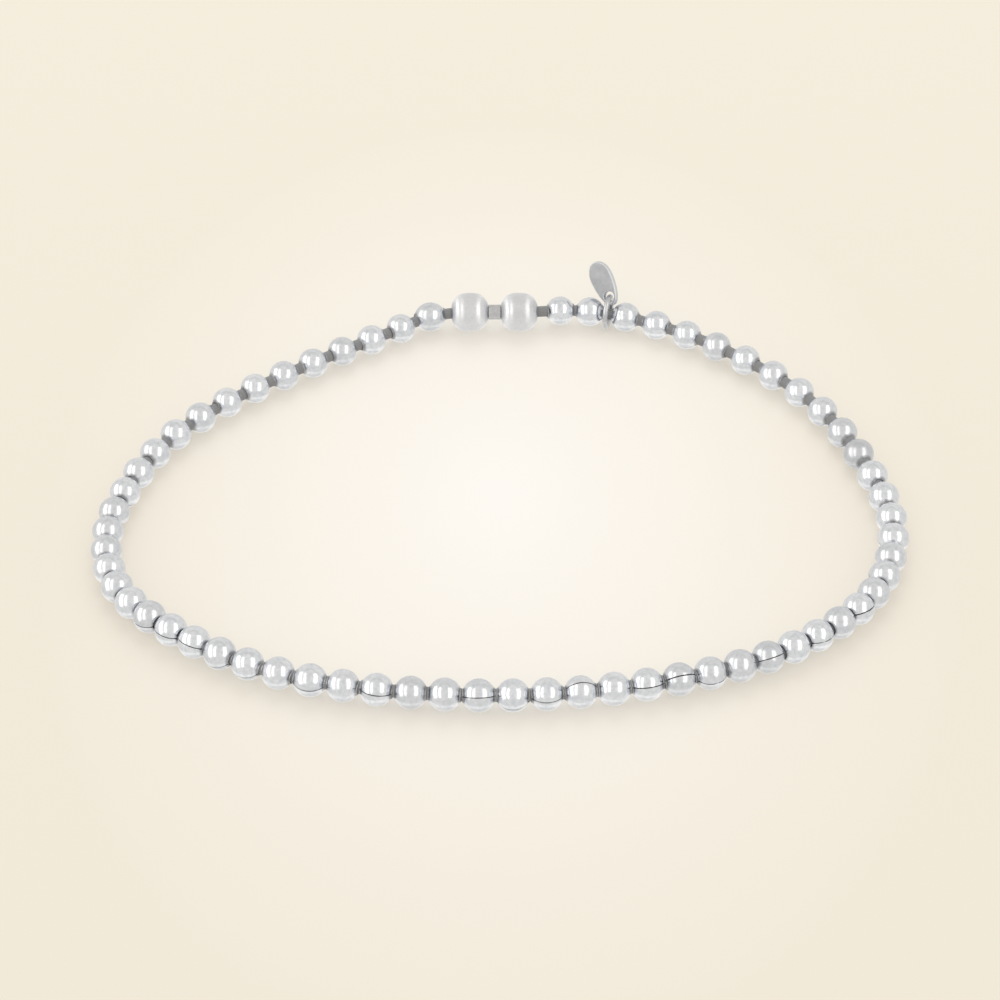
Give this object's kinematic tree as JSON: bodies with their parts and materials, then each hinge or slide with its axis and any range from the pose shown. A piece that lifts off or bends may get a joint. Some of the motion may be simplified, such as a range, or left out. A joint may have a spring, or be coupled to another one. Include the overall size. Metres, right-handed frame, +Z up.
{
  "type": "beaded stretch bracelet",
  "caption": "Stretch bracelet of small round polished beads on an elastic cord, with larger beads and a crimp tube at the back and a bare oval tag on a ring.",
  "frame": {"origin": "middle of the wrist opening, on the surface that the bracelet lies on", "axes": "+Z up; +X to the right and +Y to the back, where the larger beads, the crimp tube and the tag are"},
  "size_m": [0.067, 0.0562, 0.0053],
  "materials": {
    "small_beads": "polished sterling silver, lightly handled",
    "large_beads": "polished sterling silver",
    "crimp": "satin silver tube",
    "ring": "polished silver wire",
    "tag": "satin silver plate",
    "elastic_cord": "smooth grey elastic"
  },
  "bodies": {
    "root": {"bead_string_left": "small_beads", "bead_string_right": "small_beads", "large_bead_left": "large_beads", "large_bead_right": "large_beads", "crimp_tube": "crimp", "tag_ring": "ring", "tag_plate": "tag"}
  },
  "joints": []
}
